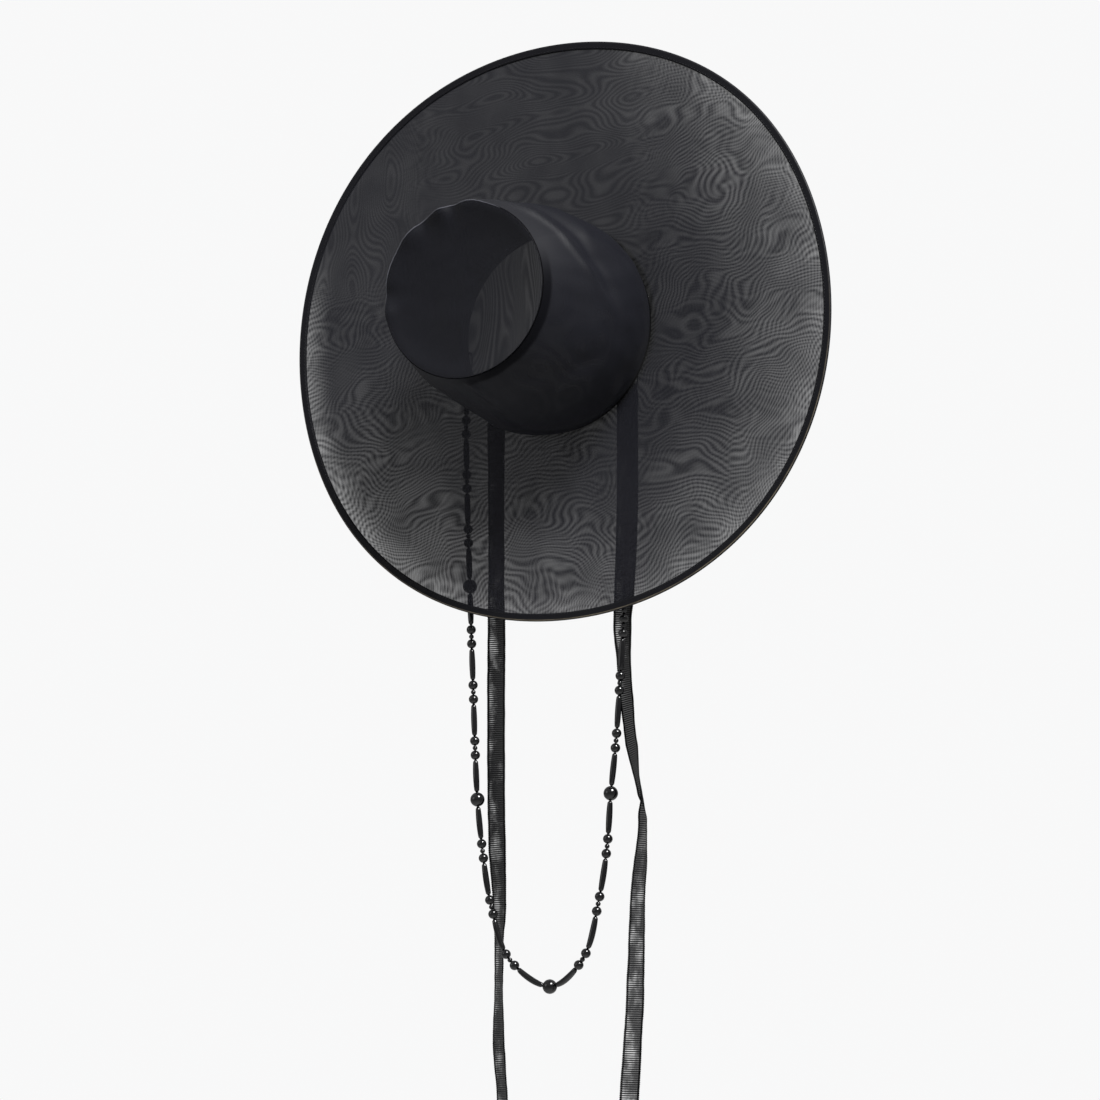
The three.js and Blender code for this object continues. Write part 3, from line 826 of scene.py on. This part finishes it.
class OBJECT_OT_gat_beads(bpy.types.Operator):
    """The chin string: tubes, pairs of round beads with a seed bead between them, and large beads, on one thread"""
    bl_idname = "object.gat_beads"
    bl_label = "Bead string"
    hole = 0.9 * MM
    pair_gap = 4 * MM
    thread = 0.55 * MM
    tube_radius = 2.6 * MM

    def execute(self, context):
        line = Line(smooth_route(STRING_ROUTE))
        row = self.row_of_beads(line.reach[LOWEST_POINT * ROUTE_STEPS])
        bm = bmesh.new()
        for start, size, kind in row:
            if kind == "tube":
                self.tube(bm, line, start, size)
            else:
                across = sizes().seed_bead if kind == "seed" else size
                self.ball(bm, line, start + size / 2, across)
        self.thread_between(bm, line, [0.0, *[start + size / 2 for start, size, _ in row], line.length])
        finished("beads_on_thread", bm, [bead_gloss()], "beads", "bead_string")
        self.knots(line)
        return {"FINISHED"}

    def row_of_beads(self, lowest):
        """Each bead's start along the string, its length and its kind. The middle large bead is the lowest."""
        s = sizes()
        row, reach = [], 0.0
        pair = [("round", s.round_bead), ("seed", self.pair_gap), ("round", s.round_bead), ("tube", s.tube_bead)]
        for index, pairs in enumerate(PAIRS_IN_STRETCHES):
            parted = [("large", s.large_bead)] if index else []
            for kind, size in [*parted, ("tube", s.tube_bead), *pair * pairs]:
                row.append((reach, size, kind))
                reach += size
        large = [start for start, _, kind in row if kind == "large"]
        shift = lowest - large[len(large) // 2] - s.large_bead / 2
        return [(start + shift, size, kind) for start, size, kind in row]

    def put(self, bm, bead, place):
        """Adds the bead, its vertices moved by place, to the string."""
        for vert in bead.verts:
            vert.co = place(vert.co)
        joined(bm, bead)

    def ball(self, bm, line, middle, across):
        radius = across / 2
        start = asin(min(self.hole / radius, 0.4))
        fine = across > 5 * MM
        count = 14 if fine else 8
        arc = [start + (pi - 2 * start) * step / (count - 1) for step in range(count)]
        profile = [(radius * sin(angle), -radius * cos(angle)) for angle in arc]
        stand = stood(line.point(middle), line.along(middle, radius))
        self.put(bm, spun(profile, 24 if fine else 14, axis=UP), lambda point: stand @ point)

    def tube(self, bm, line, start, size):
        """A long bead, slimmer toward its ends, that bends very slightly with the string."""
        count = 17
        profile = [(self.hole * 0.8, 0.05 * MM)]
        for step in range(count):
            share = step / (count - 1)
            swell = 0.66 + 0.34 * sin(pi * share) ** 0.5
            round_end = min(1, 0.55 + min(share, 1 - share) * 22)
            profile.append((self.tube_radius * swell * round_end, share * size))
        profile.append((self.hole * 0.8, size - 0.05 * MM))
        turn = line.along(start + size / 2, size / 2).to_track_quat("Z", "X")
        bead = spun(profile, 18, axis=UP)
        self.put(bm, bead, lambda point: line.point(start + point.z) + turn @ Vector((point.x, point.y, 0)))

    def thread_between(self, bm, line, stops):
        """Short rods of thread, from the middle of each bead to the next."""
        for low, high in zip(stops, stops[1:]):
            steps = max(1, round((high - low) / (4 * MM)))
            for step in range(steps):
                here = line.point(low + (high - low) * step / steps)
                there = line.point(low + (high - low) * (step + 1) / steps)
                bmesh.ops.create_cone(
                    bm, cap_ends=True, segments=8, radius1=self.thread, radius2=self.thread,
                    depth=(there - here).length + self.thread, matrix=stood((here + there) / 2, there - here),
                )

    def knots(self, line):
        """Turns of thread wound round each end of the string where it is sewn to the headband."""
        bm = bmesh.new()
        arc = [step * FULL_TURN / 8 for step in range(8)]
        ring = [((1 + 0.45 * cos(angle)) * MM, 0.45 * sin(angle) * MM) for angle in arc]
        for reach in (2 * MM, 3.1 * MM, 4.2 * MM):
            for place in (reach, line.length - reach):
                stand = stood(line.point(place), line.along(place, 2 * MM))
                self.put(bm, spun(ring, 16, axis=UP), lambda point, stand=stand: stand @ point)
        finished("string_knots", bm, [sewing_thread()], "beads")


class OBJECT_OT_gat_binding(bpy.types.Operator):
    """The tape folded over the rim's wire, and the row of stitches that holds it on each side"""
    bl_idname = "object.gat_binding"
    bl_label = "Binding"
    core = 1
    steps = 360
    stitch_pitch = 3 * MM
    # How far in from the rim the strip of the roll with the painted highlight reaches.
    worn_and_lit = (0.5 * MM, 1.35 * MM)

    def execute(self, context):
        s = sizes()
        slot = s.brim_cloth / 2 + 0.05 * MM
        face = slot + s.binding_tape
        roll = s.binding_wire * 0.8
        flat = [(s.binding_width * share, face) for share in (0.42, 0.55, 0.75, 0.92)]
        edge = [(s.binding_width, face - 0.2 * MM), (s.binding_width, slot)]
        arc = [pi * (step / 10 - 0.5) for step in range(11)]
        rolled = [(roll - roll * cos(turn), face * 1.06 * sin(turn)) for turn in arc]
        inner = [(s.binding_wire, slot), (s.binding_wire, -slot)]
        section = [(inset, -depth) for inset, depth in reversed(flat + edge)] + rolled + flat + edge + inner
        bm = spun([(self.core - inset, depth) for inset, depth in section], self.steps)
        for strip in bm.faces:
            middle = strip.calc_center_median()
            inset = -round_axis(middle, self.core)[1]
            # The front strip of the roll gets the tape with the painted highlight.
            strip.material_index = int(middle.y < 0 and self.worn_and_lit[0] < inset < self.worn_and_lit[1])
        for vert in bm.verts:
            angle, out = round_axis(vert.co, self.core)
            radius = rim_radius(angle) + out
            tug = 1 + 0.05 * noise.noise(Vector((angle * 70, -out * 400, 0)))
            vert.co = at(angle, radius, brim_middle(angle, radius) + vert.co.y * tug)
        finished("rim_tape", bm, [binding_tape(), highlight_tape()], "binding_tape", "brim_binding")
        self.stitches(face)
        return {"FINISHED"}

    def stitches(self, face):
        s = sizes()
        count = round(FULL_TURN * s.brim_radius / self.stitch_pitch)
        bm = bmesh.new()
        for index in range(count):
            angle = FULL_TURN * index / count
            radius = rim_radius(angle) - s.binding_width + 1.1 * MM
            for side in (-1, 1):
                place = at(angle, radius, brim_middle(angle, radius) + side * face)
                stitch(bm, place, Matrix.Rotation(-angle, 3, "Y"), (0.28, 0.22, 1.05))
        finished("rim_stitches", bm, [sewing_thread()], "binding_tape")


class OBJECT_OT_gat_brim(bpy.types.Operator):
    """The brim's two layers of gauze, joined at the crown and inside the binding"""
    bl_idname = "object.gat_brim"
    bl_label = "Brim"
    core = 1
    rings = 28
    gathers = 0.35 * MM

    def execute(self, context):
        s = sizes()
        bm = spun(layered(rings_out(self.rings), self.core, front=-1), STEPS_ROUND)
        inner = s.foot_radius + GAP
        for vert in bm.verts:
            angle, share = round_axis(vert.co, self.core)
            outer = rim_radius(angle) - s.binding_wire - GAP
            radius = inner + share * (outer - inner)
            gathered = eased(outer - 32 * MM, outer - 4 * MM, radius) * self.gathers
            ripple = gathered * noise.noise(Vector((cos(angle) * 22, sin(angle) * 22, radius * 14)))
            vert.co = at(angle, radius, brim_middle(angle, radius) + vert.co.y * s.brim_cloth / 2 + ripple)
        piece = finished("brim_cloth", bm, [brim_gauze()], "brim_gauze", "brim")
        return {"FINISHED"}


class OBJECT_OT_gat_crown(bpy.types.Operator):
    """The crown's soft wall, its top panel, the seam between them and the headband"""
    bl_idname = "object.gat_crown"
    bl_label = "Crown"
    core = 2
    wall_rings = 68
    panel_rings = 32
    band_rings = 6
    band_cloth = 1 * MM

    def execute(self, context):
        tape = binding_tape()
        seam = finished("top_seam", self.seam(), [seam_cloth(), lit_seam_fold()], "binding_tape")
        band = finished("inner_band", self.headband(), [tape], "binding_tape", "headband")
        wall = finished("crown_wall", self.wall(), [crown_wall_gauze()], "crown_gauze", "crown_side")
        panel = finished("crown_panel", self.panel(), [crown_panel_gauze()], "crown_gauze", "crown_top")
        return {"FINISHED"}

    def wall(self):
        s = sizes()
        bm = spun(layered(crisp_rings(self.wall_rings), self.core), STEPS_ROUND)
        foot, top = s.brim_cloth / 2, CROWN_SEAM + GAP
        for vert in bm.verts:
            angle, share = round_axis(vert.co, self.core)
            depth = foot * eased(0.1, 0, share) + top * share
            vert.co = crown_point(angle, share, vert.co.y * s.crown_wall, depth)
        return bm

    def panel(self):
        s = sizes()
        bm = spun(layered(crisp_rings(self.panel_rings)), STEPS_ROUND, closed=False)
        middle = crown_point(0, 1, s.top_radius)
        for vert in bm.verts:
            angle, share = round_axis(vert.co)
            inside = min(1, share / TOP_SEAM_SHARE) ** TOP_HOLLOW_POWER
            point = middle + (crown_point(angle, 1, 0) - middle) * share
            puckered = pucker_rise(angle) * (share - min(1, share / TOP_SEAM_SHARE) ** PUCKER_FADE)
            sunk = (s.top_hollow + crumpled(point, PANEL_CRUMPLES)) * (1 - inside) + puckered
            vert.co = point + Vector((0, sunk + vert.co.y * CROWN_SEAM, 0))
        return bm

    def seam(self):
        """A fine dark welt where the panel meets the wall, and the fold that stands out where cloth is gathered."""
        rim = [(self.core + cos(turn), sin(turn)) for turn in (step * FULL_TURN / 8 for step in range(8))]
        welt, fold = spun(rim, STEPS_ROUND), spun(rim, STEPS_ROUND)
        for vert in welt.verts:
            angle, out = round_axis(vert.co, self.core)
            vert.co = crown_point(angle, 1, (0.1 - 0.7 * out) * MM, (0.9 + 0.7 * vert.co.y) * MM)
        for vert in fold.verts:
            angle, out = round_axis(vert.co, self.core)
            gathered = eased(76, 36, abs(degrees(angle_between(angle, GATHERED_AT))))
            crimp = 0.45 * noise.noise(Vector((angle * 14, 0, 0)))
            thick = 0.1 + 0.32 * gathered
            place = crown_point(angle, 1, (-(0.35 + crimp) * gathered - thick * out) * MM, 0)
            vert.co = place + Vector((0, 0.5 - 0.2 * gathered + thick * vert.co.y, 0)) * MM
        for strip in fold.faces:
            strip.material_index = 1
        joined(welt, fold)
        return welt

    def headband(self):
        s = sizes()
        outer = s.crown_wall + GAP
        reach = s.headband_width / s.crown_height
        bm = spun(layered(rings_out(self.band_rings), self.core), STEPS_ROUND)
        for vert in bm.verts:
            angle, share = round_axis(vert.co, self.core)
            inset = outer + vert.co.y * self.band_cloth
            vert.co = crown_point(angle, share * reach, inset, s.brim_cloth / 2 * (1 - share))
        return bm


OPERATORS = (
    OBJECT_OT_gat_stage,
    OBJECT_OT_gat_ribbons,
    OBJECT_OT_gat_beads,
    OBJECT_OT_gat_binding,
    OBJECT_OT_gat_brim,
    OBJECT_OT_gat_crown,
)


class VIEW3D_PT_gat(bpy.types.Panel):
    bl_label = "Korean gat"
    bl_idname = "VIEW3D_PT_gat"
    bl_space_type = "VIEW_3D"
    bl_region_type = "UI"
    bl_category = "Gat"

    def draw(self, context):
        for group in (context.scene.gat_sizes, context.scene.gat_colours):
            box = self.layout.box()
            for name in group.__annotations__:
                box.prop(group, name)
        for operator in OPERATORS:
            self.layout.operator(operator.bl_idname)


CLASSES = (GatSizes, GatColours, *OPERATORS, VIEW3D_PT_gat)


def register():
    for cls in CLASSES:
        bpy.utils.register_class(cls)
    bpy.types.Scene.gat_sizes = PointerProperty(type=GatSizes)
    bpy.types.Scene.gat_colours = PointerProperty(type=GatColours)


def unregister():
    del bpy.types.Scene.gat_colours
    del bpy.types.Scene.gat_sizes
    for cls in reversed(CLASSES):
        bpy.utils.unregister_class(cls)


def main():
    register()
    bpy.ops.object.gat_stage()
    bpy.ops.object.gat_ribbons()
    bpy.ops.object.gat_beads()
    bpy.ops.object.gat_binding()
    bpy.ops.object.gat_brim()
    bpy.ops.object.gat_crown()


if __name__ == "__main__":
    main()
